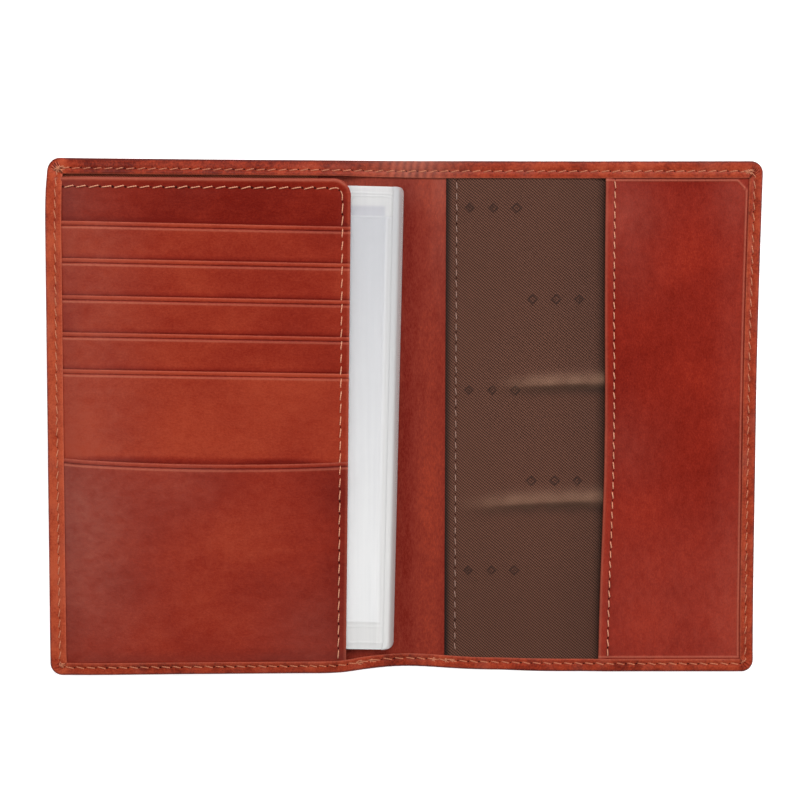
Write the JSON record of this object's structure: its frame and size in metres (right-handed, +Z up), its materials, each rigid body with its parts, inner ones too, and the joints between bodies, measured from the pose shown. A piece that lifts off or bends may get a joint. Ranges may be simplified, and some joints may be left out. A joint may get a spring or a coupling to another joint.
{
  "type": "travel document organizer",
  "caption": "Leather travel wallet that folds at its spine, with stepped card slots, a deep pocket, a clear sleeve booklet, a fabric-lined side and a passport flap.",
  "frame": {"origin": "middle of the open wallet's underside, on the surface it lies on", "axes": "+X towards the flap's fore edge, +Y up the page, +Z up out of the inside"},
  "size_m": [0.228, 0.165, 0.0066],
  "materials": {
    "outer_leather": "polished cognac calf leather, edges burnished darker",
    "inner_leather": "polished cognac calf leather, hand-mottled",
    "lining_fabric": "dark brown twill lining",
    "stiffener_board": "uncoated stiffening board",
    "thread": "orange tan polyester thread",
    "clear_vinyl": "clear soft vinyl film",
    "white_card": "white filler card"
  },
  "bodies": {
    "spine": {"outer_leather_spine": "outer_leather", "inner_leather_spine": "inner_leather", "turned_edge_spine": "outer_leather", "spine_stitching": "thread"},
    "left_cover": {"outer_leather_left": "outer_leather", "stiffener_left": "stiffener_board", "lining_left": "lining_fabric", "inner_leather_left": "inner_leather", "turned_edge_left_side": "outer_leather", "turned_edge_left_top": "outer_leather", "turned_edge_left_bottom": "outer_leather", "hem_stitching_left": "thread", "card_panel_backing": "lining_fabric", "card_panel_top_band": "inner_leather", "card_pocket_1": "inner_leather", "card_pocket_2": "inner_leather", "card_pocket_3": "inner_leather", "card_pocket_4": "inner_leather", "card_pocket_5": "inner_leather", "pocket_lining_1": "lining_fabric", "pocket_lining_2": "lining_fabric", "pocket_lining_3": "lining_fabric", "pocket_lining_4": "lining_fabric", "pocket_lining_5": "lining_fabric", "bottom_pocket": "inner_leather", "card_panel_stitching": "thread"},
    "right_cover": {"outer_leather_right": "outer_leather", "stiffener_right": "stiffener_board", "lining_right": "lining_fabric", "inner_leather_right": "inner_leather", "lining_stitching": "thread", "flap": "inner_leather", "flap_lining": "lining_fabric", "flap_stitching": "thread", "turned_edge_right_side": "outer_leather", "turned_edge_right_top": "outer_leather", "turned_edge_right_bottom": "outer_leather", "hem_stitching_right": "thread"},
    "document_insert": {"insert_binding": "clear_vinyl", "insert_leaf_1": "clear_vinyl", "insert_leaf_2": "clear_vinyl", "insert_leaf_3": "clear_vinyl", "insert_card_1": "white_card", "insert_card_2": "white_card", "insert_card_3": "white_card"}
  },
  "joints": [
    {"name": "left_cover_fold", "type": "hinge", "parent": "spine", "child": "left_cover", "pos_m": [-0.0015, 0, 0.0035], "axis": [0, 1, 0], "range_deg": [0, 90]},
    {"name": "right_cover_fold", "type": "hinge", "parent": "spine", "child": "right_cover", "pos_m": [0.0015, 0, 0.0035], "axis": [0, -1, 0], "range_deg": [0, 90]},
    {"name": "insert_slide", "type": "slide", "parent": "left_cover", "child": "document_insert", "axis": [0, 1, 0], "range_m": [0, 0.155]}
  ]
}
